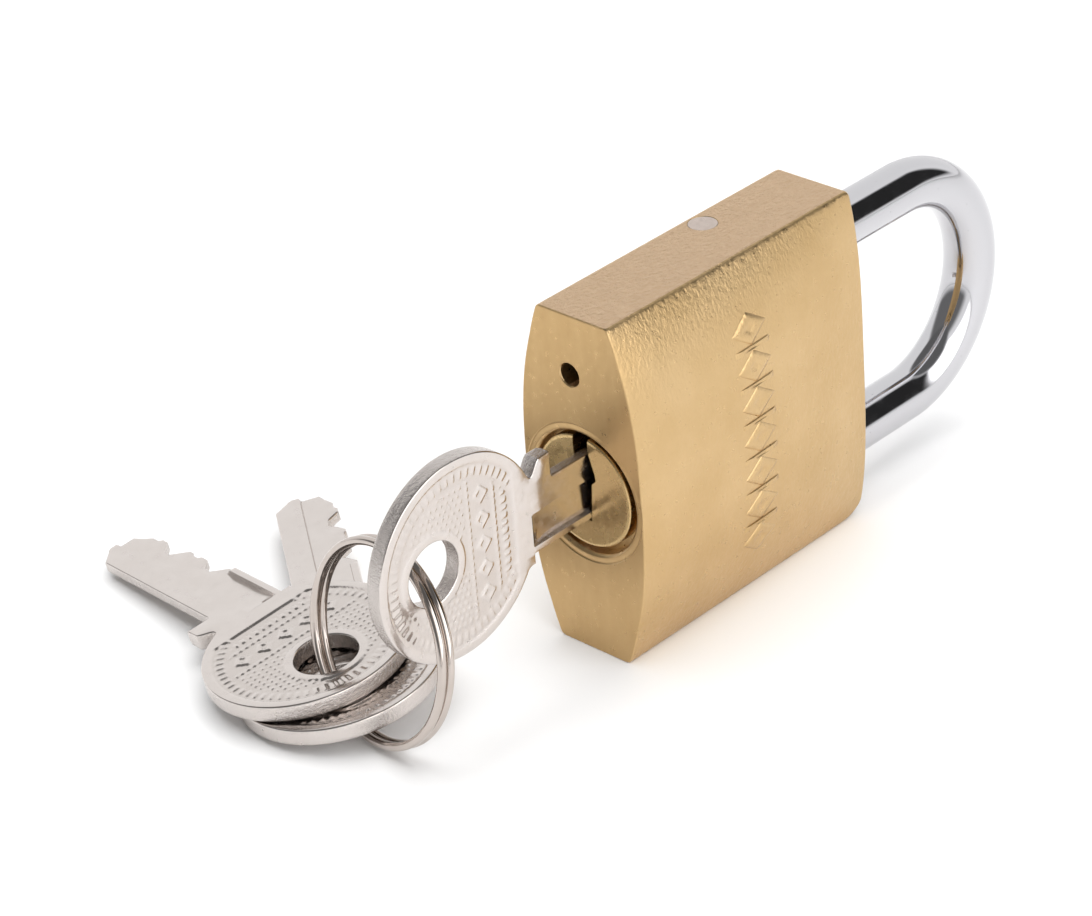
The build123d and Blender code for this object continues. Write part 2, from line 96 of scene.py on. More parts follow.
# ---- keys ----
BOW_R = 11.26
HOLE_R = 3.55
HOLE_OFFSET = -3.74
HOLE_CENTRE = Vector((HOLE_OFFSET, 0))
KEY_HALF = 0.95
HALF_BLADE = 4.65  # from the middle line to the uncut edge
BLADE_BACK = 2.95  # from the middle line to the plain edge
COLLAR_HALF = 5.85
COLLAR_BACK = 13.8
COLLAR_FRONT = 10.5
KEY_LENGTH = 36.1
KEY_CUTS = (1.6, 0.7, 2.1, 1.1)
CUT_FLAT = 0.5
TIP_BEVEL = 2.0
BOW_GRID = 0.2  # spacing of the mesh under the stamped pattern
BLADE_GRID = 0.6
MIN_EDGE = 0.04  # points of a key's outline that are closer than this are left out
PIN_FIRST = 3.5
PIN_PITCH = 3.6
KEY_TIP_DEPTH = 17.0
BOW_Z = 21.2
BOW_X = KEYWAY_X + KEY_TIP_DEPTH - KEY_LENGTH
SPARE_NORMAL = Vector((-0.12, 0.10, 0.988)).normalized()
LOWER_BOW = Vector((KEYWAY_X - 22.9, 15.1, 3.1))
LOWER_AZIMUTH = 53
UPPER_BOW_XY = (KEYWAY_X - 23.6, 19.1)
UPPER_AZIMUTH = 83
SPARE_KEY_GAP = 0.2

# ---- the pattern stamped into the bows ----
FIELD_DEPTH = 0.15
FIELD_RIM = 1.0
FENCE_U = 8.1
BAND_LOW, BAND_HIGH = 1.7, 5.3
BEAD_R = BOW_R - FIELD_RIM - 0.95
BEADS = 60
BAR_PITCH = 0.9
STUD_PITCH = 0.78
STUD_R = 0.33

# ---- the milled bands of the blades ----
MILLED_DEPTH = 0.45
MILLED_BACK_V = -1.2
STEP = 0.12
RUN_OUT = 5.0
LIP_V = 3.75
LIP_END = 20.0

# ---- the raised pattern on the front face ----
EMBLEM_X = 18.6
EMBLEM_LOW_Z = 7.6
EMBLEM_PITCH = 4.2
EMBLEM_COUNT = 7
EMBLEM_STEPS = 16

# ---- the split ring ----
RING_CENTRE = Vector((KEYWAY_X - 24.8, 5.95, 11.45))
RING_AXIS = Vector((-0.97, 0.13, 0.205)).normalized()
RING_R = 10.7
WIRE_R = 0.49
RING_PITCH = 1.0
RING_TURNS = 2.0
RING_START = math.radians(70)
RING_STEPS = 420

# ---- light ----
WALL_LEVEL = 1.1
CEILING_LEVEL = 0.16
FRONT_PANEL_LEVEL = 2.6
BACK_PANEL_LEVEL = 1.05
LEFT_ROOM_LEVEL = 0.2
DOORWAY_LEVEL = 0.03
OVERHEAD_WATTS = 8.5


# ======================================================================== camera, light, floor
def camera():
    """A long lens from the keyway side, looking down about 30 degrees."""
    place = Vector((-254.73, -234.35, 216.62)) * MM
    azimuth, elevation, roll = math.radians(-44.516), math.radians(30.127), math.radians(-4.697)
    flat = math.cos(elevation)
    back = Vector((math.sin(azimuth) * flat, -math.cos(azimuth) * flat, math.sin(elevation)))
    level_right = Vector((0, 0, 1)).cross(back).normalized()
    level_up = back.cross(level_right)
    right = level_right * math.cos(roll) + level_up * math.sin(roll)
    up = back.cross(right)
    data = bpy.data.cameras.new("camera")
    data.sensor_width = 36
    data.lens = 123.0
    data.clip_start, data.clip_end = 0.01, 10
    cam = bpy.data.objects.new("camera", data)
    bpy.context.collection.objects.link(cam)
    turn = Matrix((right, up, back)).transposed().to_4x4()
    cam.matrix_world = Matrix.Translation(place) @ turn
    bpy.context.scene.camera = cam


def overhead_light():
    """A large soft lamp above the table that doesn't show in reflections."""
    place = Vector((0, 0, 0.9))
    data = bpy.data.lights.new("overhead", "AREA")
    data.shape = "RECTANGLE"
    data.size, data.size_y = 1.0, 1.0
    data.energy = OVERHEAD_WATTS
    lamp = bpy.data.objects.new("overhead", data)
    bpy.context.collection.objects.link(lamp)
    lamp.location = place
    lamp.rotation_mode = "QUATERNION"
    lamp.rotation_quaternion = place.to_track_quat("Z", "Y")
    lamp.visible_glossy = False


def table_top():
    """A large plain table top under the lock."""
    bpy.ops.mesh.primitive_grid_add(x_subdivisions=2, y_subdivisions=2, size=8, location=(0, 0, 0))
    floor = bpy.context.object
    floor.name = "table_top"
    floor.data.materials.append(floor_material())


def soft_step(nodes, links, value, low, high):
    """0 below low, 1 above high, smooth between."""
    made = nodes.new("ShaderNodeMapRange")
    made.interpolation_type = "SMOOTHSTEP"
    links.new(value, made.inputs["Value"])
    made.inputs["From Min"].default_value = low
    made.inputs["From Max"].default_value = high
    return made.outputs[0]


def blend(nodes, links, factor, a, b):
    """a where factor is 0, b where it is 1. Each may be a number or a socket."""
    made = nodes.new("ShaderNodeMix")
    links.new(factor, made.inputs["Factor"])
    for socket, value in ((made.inputs[2], a), (made.inputs[3], b)):
        if isinstance(value, float):
            socket.default_value = value
        else:
            links.new(value, socket)
    return made.outputs[0]


def product(nodes, links, *factors):
    made = factors[0]
    for factor in factors[1:]:
        times = nodes.new("ShaderNodeMath")
        times.operation = "MULTIPLY"
        links.new(made, times.inputs[0])
        links.new(factor, times.inputs[1])
        made = times.outputs[0]
    return made


def studio():
    """A white room with a dim ceiling, soft panels in front and behind, and one dark doorway."""
    world = bpy.data.worlds.new("studio")
    bpy.context.scene.world = world
    world.use_nodes = True
    nodes, links = world.node_tree.nodes, world.node_tree.links
    nodes.clear()
    out = nodes.new("ShaderNodeOutputWorld")
    back = nodes.new("ShaderNodeBackground")
    where = nodes.new("ShaderNodeTexCoord")
    split = nodes.new("ShaderNodeSeparateXYZ")
    links.new(where.outputs["Generated"], split.inputs[0])
    height = split.outputs["Z"]

    def heading(azimuth):
        """How far a direction leans towards a compass heading. 0 is -Y and 90 is +X."""
        dot = nodes.new("ShaderNodeVectorMath")
        dot.operation = "DOT_PRODUCT"
        flat = nodes.new("ShaderNodeVectorMath")
        flat.operation = "MULTIPLY"
        flat.inputs[1].default_value = (1, 1, 0)
        unit = nodes.new("ShaderNodeVectorMath")
        unit.operation = "NORMALIZE"
        links.new(where.outputs["Generated"], flat.inputs[0])
        links.new(flat.outputs[0], unit.inputs[0])
        links.new(unit.outputs[0], dot.inputs[0])
        angle = math.radians(azimuth)
        dot.inputs[1].default_value = (math.sin(angle), -math.cos(angle), 0)
        return dot.outputs["Value"]

    def sector(azimuth, half_width, soft):
        outer = math.cos(math.radians(half_width + soft))
        inner = math.cos(math.radians(half_width - soft))
        return soft_step(nodes, links, heading(azimuth), outer, inner)

    def above(elevation, soft):
        low, high = math.sin(math.radians(elevation - soft)), math.sin(math.radians(elevation + soft))
        return soft_step(nodes, links, height, low, high)

    def below(elevation, soft):
        low, high = math.sin(math.radians(elevation - soft)), math.sin(math.radians(elevation + soft))
        return soft_step(nodes, links, height, high, low)

    ceiling = above(52, 4)
    left = product(nodes, links, sector(-108, 58, 12), above(4, 6))
    panel_front = product(nodes, links, sector(3, 30, 4), above(3, 3), below(50, 4))
    panel_back = product(nodes, links, sector(140, 52, 6), above(3, 4), below(48, 5))
    doorway = product(nodes, links, sector(56, 20, 5), above(4, 4), below(50, 5))
    level = blend(nodes, links, left, WALL_LEVEL, LEFT_ROOM_LEVEL)
    level = blend(nodes, links, panel_front, level, FRONT_PANEL_LEVEL)
    level = blend(nodes, links, panel_back, level, BACK_PANEL_LEVEL)
    level = blend(nodes, links, doorway, level, DOORWAY_LEVEL)
    level = blend(nodes, links, ceiling, level, CEILING_LEVEL)
    links.new(level, back.inputs["Color"])
    links.new(back.outputs[0], out.inputs["Surface"])


# ======================================================================== materials
class Nodes:
    """Short names for building a node material."""

    def __init__(self, name, base=(0.8, 0.8, 0.8), metallic=1.0, roughness=0.3):
        self.material = bpy.data.materials.new(name)
        self.material.use_nodes = True
        self.tree = self.material.node_tree
        self.shader = self.tree.nodes["Principled BSDF"]
        self.shader.inputs["Base Color"].default_value = (*base, 1)
        self.shader.inputs["Metallic"].default_value = metallic
        self.shader.inputs["Roughness"].default_value = roughness
        self.bump = None

    def node(self, kind, **inputs):
        made = self.tree.nodes.new("ShaderNode" + kind)
        for name, value in inputs.items():
            self.plug(made.inputs[name], value)
        return made

    def plug(self, socket, value):
        if isinstance(value, bpy.types.NodeSocket):
            self.tree.links.new(value, socket)
        else:
            socket.default_value = value

    def coordinates(self, scale=(1, 1, 1)):
        """Object coordinates in millimetres, stretched by scale."""
        where = self.node("TexCoord")
        mapping = self.node("Mapping", Vector=where.outputs["Object"])
        mapping.inputs["Scale"].default_value = tuple(s / MM for s in scale)
        return mapping.outputs[0]

    def noise(self, scale, detail=3.0, rough=0.5, stretch=(1, 1, 1)):
        made = self.node("TexNoise", Vector=self.coordinates(stretch), Scale=scale, Detail=detail)
        made.inputs["Roughness"].default_value = rough
        return made.outputs["Fac"]

    def voronoi(self, scale):
        made = self.node("TexVoronoi", Vector=self.coordinates(), Scale=scale)
        return made.outputs["Distance"]

    def ramp(self, value, low, high, start=0.0, end=1.0):
        made = self.node("MapRange", Value=value)
        made.inputs["From Min"].default_value = low
        made.inputs["From Max"].default_value = high
        made.inputs["To Min"].default_value = start
        made.inputs["To Max"].default_value = end
        return made.outputs[0]

    def maths(self, operation, a, b=0.0):
        made = self.node("Math")
        made.operation = operation
        self.plug(made.inputs[0], a)
        self.plug(made.inputs[1], b)
        return made.outputs[0]

    def mix(self, factor, a, b):
        made = self.node("Mix")
        made.data_type = "RGBA"
        self.plug(made.inputs["Factor"], factor)
        self.plug(made.inputs[6], a if isinstance(a, bpy.types.NodeSocket) else (*a, 1))
        self.plug(made.inputs[7], b if isinstance(b, bpy.types.NodeSocket) else (*b, 1))
        return made.outputs[2]

    def relief(self, height, distance, strength=1.0):
        """Adds a layer of bump, distance in millimetres."""
        made = self.node("Bump", Height=height, Strength=strength, Distance=distance * MM)
        if self.bump:
            self.tree.links.new(self.bump, made.inputs["Normal"])
        self.bump = made.outputs[0]
        self.tree.links.new(self.bump, self.shader.inputs["Normal"])

    def colour(self, socket):
        self.tree.links.new(socket, self.shader.inputs["Base Color"])

    def roughness(self, socket):
        self.tree.links.new(socket, self.shader.inputs["Roughness"])

    def facing(self, axis):
        """How squarely the surface looks along an axis of the object, 0 to 1."""
        geometry = self.node("NewGeometry")
        turn = self.node("VectorTransform", Vector=geometry.outputs["True Normal"])
        turn.vector_type = "NORMAL"
        turn.convert_from, turn.convert_to = "WORLD", "OBJECT"
        split = self.node("SeparateXYZ", Vector=turn.outputs[0])
        return self.maths("ABSOLUTE", split.outputs[axis])


def floor_material():
    mat = Nodes("table_white", (0.93, 0.93, 0.93), metallic=0, roughness=0.6)
    mat.relief(mat.noise(0.4), 0.02, 0.2)
    return mat.material


def case_brass():
    """Satin lacquered brass: peeled broad faces, wrinkled narrow sides, brushed keyway end."""
    mat = Nodes("case_brass", roughness=0.32)
    side = mat.ramp(mat.facing("Z"), 0.96, 0.985)
    end = mat.ramp(mat.facing("X"), 0.8, 0.97)
    cloud = mat.ramp(mat.noise(0.12, 4), 0.35, 0.65)
    face = mat.mix(cloud, (0.57, 0.39, 0.19), (0.62, 0.435, 0.225))
    pink = mat.mix(mat.noise(0.5, 3), (0.74, 0.53, 0.34), (0.81, 0.595, 0.39))
    warm = mat.mix(mat.noise(0.2, 5, stretch=(1, 3, 0.5)), (0.52, 0.34, 0.155), (0.6, 0.41, 0.2))
    colour = mat.mix(end, mat.mix(side, face, pink), warm)
    mat.colour(colour)
    rough = mat.ramp(mat.noise(1.4, 4), 0.3, 0.7, 0.26, 0.4)
    mat.roughness(mat.maths("ADD", rough, mat.maths("MULTIPLY", side, 0.16)))
    flat = mat.maths("SUBTRACT", 1.0, end)
    peel = mat.maths("MULTIPLY", mat.noise(2.4, 3, 0.55, stretch=(1, 1, 0.6)), flat)
    mat.relief(peel, 0.13, 0.5)
    wrinkle = mat.maths("MULTIPLY", mat.noise(1.3, 4, 0.6, stretch=(1, 1.8, 1)), side)
    mat.relief(wrinkle, 0.35, 0.8)
    mat.relief(mat.maths("MULTIPLY", mat.noise(0.6, 3, stretch=(1, 3, 0.6)), end), 0.06, 0.4)
    return mat.material


def plug_brass():
    """Turned brass, a little darker and glossier than the case."""
    mat = Nodes("plug_brass", roughness=0.24)
    mat.colour(mat.mix(mat.noise(0.3, 4), (0.52, 0.36, 0.16), (0.64, 0.46, 0.23)))
    mat.roughness(mat.ramp(mat.noise(0.8, 3), 0.3, 0.7, 0.18, 0.32))
    mat.relief(mat.noise(0.5, 3), 0.05, 0.3)
    return mat.material


def chrome():
    """Bright chrome with a few darker specks."""
    plate = (0.58, 0.575, 0.595)
    mat = Nodes("shackle_chrome", plate, roughness=0.06)
    mat.roughness(mat.ramp(mat.noise(0.6, 5), 0.35, 0.75, 0.04, 0.14))
    mat.relief(mat.noise(0.25, 2), 0.02, 0.25)
    specks = mat.ramp(mat.voronoi(0.8), 0.03, 0.06)
    mat.colour(mat.mix(specks, (0.3, 0.3, 0.32), plate))
    return mat.material


def key_nickel():
    """Tumbled nickel plate, smooth on the faces and torn along the stamped edge."""
    mat = Nodes("key_nickel", roughness=0.3)
    edge = mat.ramp(mat.facing("Z"), 0.5, 0.2)
    tone = mat.mix(mat.noise(0.3, 4), (0.64, 0.585, 0.55), (0.7, 0.65, 0.62))
    split = mat.node("SeparateXYZ", Vector=mat.coordinates())
    level = mat.maths("ABSOLUTE", split.outputs["Z"])
    sunk = mat.ramp(level, KEY_HALF - 0.03, KEY_HALF - 0.17)
    sunk = mat.maths("MULTIPLY", sunk, mat.maths("SUBTRACT", 1.0, edge))
    on_bow = mat.ramp(split.outputs["X"], FENCE_U + 0.4, FENCE_U)
    field = mat.ramp(mat.maths("MULTIPLY", sunk, on_bow), 0, 1, 0, 0.16)
    mat.colour(mat.mix(field, tone, (0.36, 0.31, 0.27)))
    mat.roughness(mat.ramp(mat.noise(1.0, 4), 0.3, 0.7, 0.15, 0.28))
    mat.relief(mat.noise(0.35, 3), 0.06, 0.35)
    torn = mat.maths("MULTIPLY", mat.noise(4.5, 4, 0.7, stretch=(1, 1, 0.6)), edge)
    mat.relief(torn, 0.12, 1.0)
    return mat.material


def ring_nickel():
    """Bright nickel plate on drawn wire."""
    mat = Nodes("ring_nickel", (0.7, 0.655, 0.62), roughness=0.12)
    mat.roughness(mat.ramp(mat.noise(1.5, 4), 0.35, 0.7, 0.03, 0.1))
    mat.colour(mat.mix(mat.noise(0.4, 3), (0.5, 0.44, 0.4), (0.6, 0.54, 0.5)))
    mat.relief(mat.noise(0.8, 2), 0.02, 0.3)
    return mat.material


def plain_steel(name, base, roughness):
    """Satin steel with faint pits."""
    mat = Nodes(name, base, roughness=roughness)
    darker = tuple(0.8 * c for c in base)
    mat.colour(mat.mix(mat.noise(0.9, 4), darker, base))
    mat.roughness(mat.ramp(mat.noise(2.0, 3), 0.3, 0.7, roughness - 0.08, roughness + 0.1))
    mat.relief(mat.ramp(mat.voronoi(1.4), 0.05, 0.2), 0.02, 0.4)
    return mat.material


# ======================================================================== mesh helpers
def piece(name, verts, faces, material, body, nodes, sharp):
    """A mesh object in metres from vertices in millimetres, riding on a body and standing for nodes."""
    mesh = bpy.data.meshes.new(name)
    mesh.from_pydata([Vector(v) * MM for v in verts], [], faces)
    mesh.validate()
    work = bmesh.new()
    work.from_mesh(mesh)
    bmesh.ops.recalc_face_normals(work, faces=work.faces)
    work.to_mesh(mesh)
    work.free()
    obj = bpy.data.objects.new(name, mesh)
    bpy.context.collection.objects.link(obj)
    mesh.materials.append(material)
    finish_shading(obj, sharp)
    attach(obj, body)
    if nodes:
        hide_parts(*nodes)
    return obj


def finish_shading(obj, sharp, flat_axes=()):
    """Smooth shading up to an angle. Faces square to the flat axes keep their own normal."""
    obj.data.shade_smooth()
    obj.data.set_sharp_from_angle(angle=math.radians(sharp))
    for face in obj.data.polygons:
        if any(abs(face.normal[axis]) > 0.9998 for axis in flat_axes):
            face.use_smooth = False


def loops_to_mesh(loops):
    """Joins equal closed loops of points into a closed skin."""
    count = len(loops[0])
    verts = [point for loop in loops for point in loop]
    faces = []
    for row in range(len(loops) - 1):
        for i in range(count):
            j = (i + 1) % count
            a, b = row * count, (row + 1) * count
            faces.append((a + i, a + j, b + j, b + i))
    faces.append(tuple(reversed(range(count))))
    faces.append(tuple(range((len(loops) - 1) * count, len(loops) * count)))
    return verts, faces


def lathe(profile, origin, axis, segments=96):
    """Turns (radius, along) points round an axis."""
    axis = Vector(axis).normalized()
    side = axis.orthogonal().normalized()
    other = axis.cross(side)
    loops = []
    for radius, along in profile:
        centre = Vector(origin) + axis * along
        ring = []
        for i in range(segments):
            angle = 2 * math.pi * i / segments
            ring.append(centre + side * (radius * math.cos(angle)) + other * (radius * math.sin(angle)))
        loops.append(ring)
    return loops_to_mesh(loops)


def cut(obj, verts, faces):
    """Takes a closed mesh away from an object."""
    mesh = bpy.data.meshes.new("cutter")
    mesh.from_pydata([Vector(v) * MM for v in verts], [], faces)
    work = bmesh.new()
    work.from_mesh(mesh)
    bmesh.ops.recalc_face_normals(work, faces=work.faces)
    work.to_mesh(mesh)
    work.free()
    tool = bpy.data.objects.new("cutter", mesh)
    bpy.context.collection.objects.link(tool)
    modifier = obj.modifiers.new("cut", "BOOLEAN")
    modifier.operation = "DIFFERENCE"
    modifier.solver = "MANIFOLD"
    modifier.object = tool
    depsgraph = bpy.context.evaluated_depsgraph_get()
    result = bpy.data.meshes.new_from_object(obj.evaluated_get(depsgraph))
    obj.modifiers.clear()
    old = obj.data
    obj.data = result
    bpy.data.meshes.remove(old)
    bpy.data.objects.remove(tool)
    bpy.data.meshes.remove(mesh)


def tube(path, across, radii, segments):
    """A round bar along a path, with a radius for each point. across is a direction off the path."""
    loops = []
    last = len(path) - 1
    for i, (point, radius) in enumerate(zip(path, radii)):
        ahead = path[min(i + 1, last)] - path[max(i - 1, 0)]
        ahead.normalize()
        first = (across - ahead * across.dot(ahead)).normalized()
        second = ahead.cross(first)
        loop = []
        for k in range(segments):
            angle = 2 * math.pi * k / segments
            loop.append(point + first * (radius * math.cos(angle)) + second * (radius * math.sin(angle)))
        loops.append(loop)
    return loops_to_mesh(loops)


# ======================================================================== the case
def half_thickness(x, z):
    """Half the case's thickness at distance x from the keyway end and height z."""
    across = abs(2 * z / CASE_WIDTH - 1)
    bulge = CROWN_HALF - CROWN_CURVE * (x - CROWN_X) ** 2 - SIDE_HALF
    power = BULGE_POWER + BULGE_POWER_GAIN * (x / CASE_LENGTH) ** 2
    return SIDE_HALF + bulge * (1 - across**power)


def rounding(distance, radius):
    """How far a surface draws in at this distance from an end with a rounded edge."""
    if distance >= radius:
        return 0.0
    return radius - math.sqrt(max(0.0, radius**2 - (radius - distance) ** 2))


def case_section(x):
    """One closed loop of the case's outside at distance x from the keyway end."""
    along_face, along_side, corner = 110, 22, 4
    inset = max(rounding(x, KEYWAY_END_R), rounding(CASE_LENGTH - x, SHACKLE_END_R))
    low = rounding(CASE_LENGTH - x, LOWER_SHOULDER_R) + rounding(x, KEYWAY_END_R)
    high = CASE_WIDTH - rounding(CASE_LENGTH - x, UPPER_SHOULDER_R) - rounding(x, KEYWAY_END_R)
    roll = KEYWAY_ROLL * max(0.0, 1 - x / KEYWAY_ROLL_REACH) ** 2
    reach = LONG_EDGE_R
    points = []

    def depth(z):
        fade = min(1.0, z / KEYWAY_ROLL_MARGIN, (CASE_WIDTH - z) / KEYWAY_ROLL_MARGIN)
        return half_thickness(x, z) - inset - roll * max(0.0, fade)

    def face(sign, start, end):
        for i in range(along_face + 1):
            z = start + (end - start) * i / along_face
            points.append((sign * depth(z), z))

    def side(z, start, end):
        for i in range(along_side + 1):
            points.append((start + (end - start) * i / along_side, z))

    def bend(a, tip, b):
        """A curve round a long edge from a to b."""
        for i in range(1, corner):
            u = i / corner
            y = (1 - u) ** 2 * a[0] + 2 * u * (1 - u) * tip[0] + u**2 * b[0]
            z = (1 - u) ** 2 * a[1] + 2 * u * (1 - u) * tip[1] + u**2 * b[1]
            points.append((y, z))

    half_high, half_low = depth(high), depth(low)
    near_high, near_low = depth(high - reach), depth(low + reach)
    face(-1, low + reach, high - reach)
    bend((-near_high, high - reach), (-half_high, high), (-half_high + reach, high))
    side(high, -half_high + reach, half_high - reach)
    bend((half_high - reach, high), (half_high, high), (near_high, high - reach))
    face(1, high - reach, low + reach)
    bend((near_low, low + reach), (half_low, low), (half_low - reach, low))
    side(low, half_low - reach, -half_low + reach)
    bend((-half_low + reach, low), (-half_low, low), (-near_low, low + reach))
    return points


def case_shell():
    """The case's outside, closed by flat ends, with its bores cut."""
    count, shoulder_count = 110, 40
    stations = [0, 0.03, 0.08, KEYWAY_END_R]
    start, end = KEYWAY_END_R, CASE_LENGTH - LOWER_SHOULDER_R
    stations += [start + (end - start) * i / count for i in range(1, count + 1)]
    for i in range(1, shoulder_count + 1):
        angle = math.pi / 2 * i / shoulder_count
        stations.append(end + LOWER_SHOULDER_R * math.sin(angle))
    centre_z = CASE_WIDTH / 2
    sections = [case_section(x) for x in stations]
    rings = [0.02, 0.1, 0.25, 0.4, 0.55, 0.7, 0.82, 0.9, 0.96]

    def flat_end(x, section, sizes):
        return [[(x, y * k, centre_z + (z - centre_z) * k) for y, z in section] for k in sizes]

    loops = flat_end(KEYWAY_X, sections[0], rings)
    for x, section in zip(stations, sections):
        loops.append([(KEYWAY_X + x, y, z) for y, z in section])
    loops += flat_end(KEYWAY_X + CASE_LENGTH, sections[-1], reversed(rings))
    verts, faces = loops_to_mesh(loops)
    shell = piece(
        "case_shell", verts, faces, MATERIALS["case"], "lock_case", ["lock_body"], CASE_SHARP
    )
    for profile, origin, axis in case_bores():
        cut(shell, *lathe(profile, origin, axis))
    finish_shading(shell, CASE_SHARP, (0, 2))


def pin_x(index):
    return KEYWAY_X + PIN_FIRST + PIN_PITCH * index


def lipped(radius, depth, lip):
    """Profile of a blind bore with a softened lip."""
    return [
        (radius + lip * 2, -lip),
        (radius + lip, 0),
        (radius + lip * 0.4, lip * 0.5),
        (radius, lip * 1.2),
        (radius, depth),
    ]


def case_bores():
    """Profile, origin and axis of each bore in the case."""
    along, up = (1, 0, 0), (0, 0, 1)
    sink = [(8.35, -0.3), (8.15, 0.0), (8.05, 0.1), (7.9, 0.12), (7.7, 0.05), (7.4, 0.06)]
    sink += [(7.2, 0.2), (7.08, 0.4), (7.05, 1.6)]
    yield sink, (KEYWAY_X, 0, PLUG_Z - 0.28), along
    yield [(6.53, -1.0), (6.53, 30.7), (6.0, 30.75), (6.0, 34.9)], (KEYWAY_X, 0, PLUG_Z), along
    yield lipped(1.3, 4, 0.12), (KEYWAY_X, DRAIN_Y, HEEL_Z), along
    shackle_end = KEYWAY_X + CASE_LENGTH
    yield lipped(3.06, 12.1, 0.2), (shackle_end, 0, TOE_Z), (-1, 0, 0)
    yield lipped(3.06, 35.5, 0.2), (shackle_end, 0, HEEL_Z), (-1, 0, 0)
    for index in range(PIN_COUNT):
        yield lipped(1.31, BORE_DEPTH, 0.05), (pin_x(index), 0, 0), up
    yield lipped(0.66, BORE_DEPTH, 0.05), (KEYWAY_X + PLUG_PIN_X, 0, 0), up
    yield lipped(2.06, BORE_DEPTH, 0.06), (KEYWAY_X + LATCH_X, 0, 0), up
    yield lipped(1.62, 1.7, 0.06), (KEYWAY_X + SIDE_PIN_X, SIDE_PIN_Y, CASE_WIDTH), (0, 0, -1)


# ======================================================================== the shackle
def shackle_bar():
    """The bent bar with its turned-down neck at the heel and the latch's notch at the toe."""
    straight_steps, arch_steps = 40, 120
    leg_start = TOE_END + 0.5
    course = [(TOE_END, TOE_Z, BAR_R - 0.5), (TOE_END + 0.25, TOE_Z, BAR_R - 0.12), (leg_start, TOE_Z, BAR_R)]
    for i in range(1, straight_steps + 1):
        course.append((leg_start + (ARCH_X - leg_start) * i / straight_steps, TOE_Z, BAR_R))
    for i in range(1, arch_steps + 1):
        angle = -math.pi / 2 + math.pi * i / arch_steps
        along = ARCH_X + LEG_HALF_SPAN * math.cos(angle)
        course.append((along, TOE_Z + LEG_HALF_SPAN + LEG_HALF_SPAN * math.sin(angle), BAR_R))
    course += [(along, HEEL_Z, BAR_R) for along in (ARCH_X - 6, 40.0, 33.0, HEEL_NECK_END + 0.05)]
    course += [(along, HEEL_Z, HEEL_NECK_R) for along in (HEEL_NECK_END, HEEL_NECK_START)]
    course += [(along, HEEL_Z, BAR_R) for along in (HEEL_NECK_START - 0.05, HEEL_END + 0.4)]
    course.append((HEEL_END, HEEL_Z, BAR_R - 0.4))
    path = [Vector((KEYWAY_X + along, 0, z)) for along, z, radius in course]
    radii = [radius for along, z, radius in course]
    verts, faces = tube(path, Vector((0, 1, 0)), radii, 72)
    bar = piece("shackle_bar", verts, faces, MATERIALS["chrome"], "shackle", ["shackle"], 40)
    floor_z = TOE_Z + BAR_R - NOTCH_DEPTH
    top_z = TOE_Z + BAR_R + 1
    near, far = KEYWAY_X + NOTCH_NEAR, KEYWAY_X + NOTCH_FAR
    ramp = (top_z - floor_z) * NOTCH_RAMP
    outline = [(near, floor_z), (near, top_z), (far - ramp, top_z), (far, floor_z)]
    loops = [[(x, y, z) for x, z in outline] for y in (-4, 4)]
    cut(bar, *loops_to_mesh(loops))
    finish_shading(bar, 40)


# ======================================================================== keys
def blade_corners():
    """Corners of the blade's edge, from the collar along the back, round the tip and back over the cuts."""
    top = HALF_BLADE
    points = [(COLLAR_BACK, -BLADE_BACK), (KEY_LENGTH - TIP_BEVEL, -BLADE_BACK)]
    points += [(KEY_LENGTH, -BLADE_BACK + TIP_BEVEL), (KEY_LENGTH, top - 2.4), (KEY_LENGTH - 1.0, top - 1.9)]
    for index in reversed(range(PIN_COUNT)):
        along = pin_x(index) - BOW_X
        deep = KEY_CUTS[index]
        points += [(along + CUT_FLAT, top - deep), (along - CUT_FLAT, top - deep)]
        if index:
            other = KEY_CUTS[index - 1]
            rise = min(deep, other, (PIN_PITCH - 2 * CUT_FLAT - abs(deep - other)) / 2)
            crest = min(deep, other) - max(rise, 0) * 0.5
            points.append((along - CUT_FLAT - (deep - crest), top - crest))
            points.append((along - PIN_PITCH + CUT_FLAT + (other - crest), top - crest))
    first = pin_x(0) - BOW_X - CUT_FLAT
    points += [(first - KEY_CUTS[0], top), (COLLAR_FRONT, top)]
    return points


def spread(points, step):
    """Adds points along straight runs so that none is longer than step. The last point is left out."""
    out = []
    for a, b in zip(points, points[1:]):
        a, b = Vector(a), Vector(b)
        count = max(1, math.ceil((b - a).length / step))
        out += [a.lerp(b, i / count) for i in range(count)]
    return out


def arc_points(centre, radius, start, end, step):
    """Points on an arc from one angle to another, in degrees, both ends included."""
    span = math.radians(end - start)
    count = max(2, math.ceil(abs(span) * radius / step))
    angles = [math.radians(start) + span * i / count for i in range(count + 1)]
    return [Vector((centre[0] + radius * math.cos(a), centre[1] + radius * math.sin(a))) for a in angles]


def key_outline(step=0.3):
    """Anticlockwise outline of the whole key in its own plane."""
    bow = arc_points((0, 0), BOW_R, 34.0, 335.5, step)
    waist = ((10.42, -4.38), (10.62, -4.28), (10.86, -4.36), (11.06, -4.6), (11.6, -5.5))
    low_waist = [Vector(corner) for corner in waist] + [Vector((11.95, -COLLAR_HALF))]
    high_waist = arc_points((10.17, 6.85), 1.0, 270, 214, 0.12)
    collar_low = [low_waist[-1], Vector((COLLAR_BACK, -COLLAR_HALF)), Vector((COLLAR_BACK, -BLADE_BACK))]
    blade = [Vector(p) for p in blade_corners()]
    collar_high = [Vector((COLLAR_FRONT, HALF_BLADE)), Vector((COLLAR_FRONT, COLLAR_HALF)), high_waist[0]]
    points = bow[:-1] + low_waist[:-1]
    points += spread(collar_low, step) + spread(blade, step) + spread(collar_high, step) + high_waist[:-1]
    clean = [points[0]]
    for point in points[1:]:
        if (point - clean[-1]).length > MIN_EDGE:
            clean.append(point)
    return clean


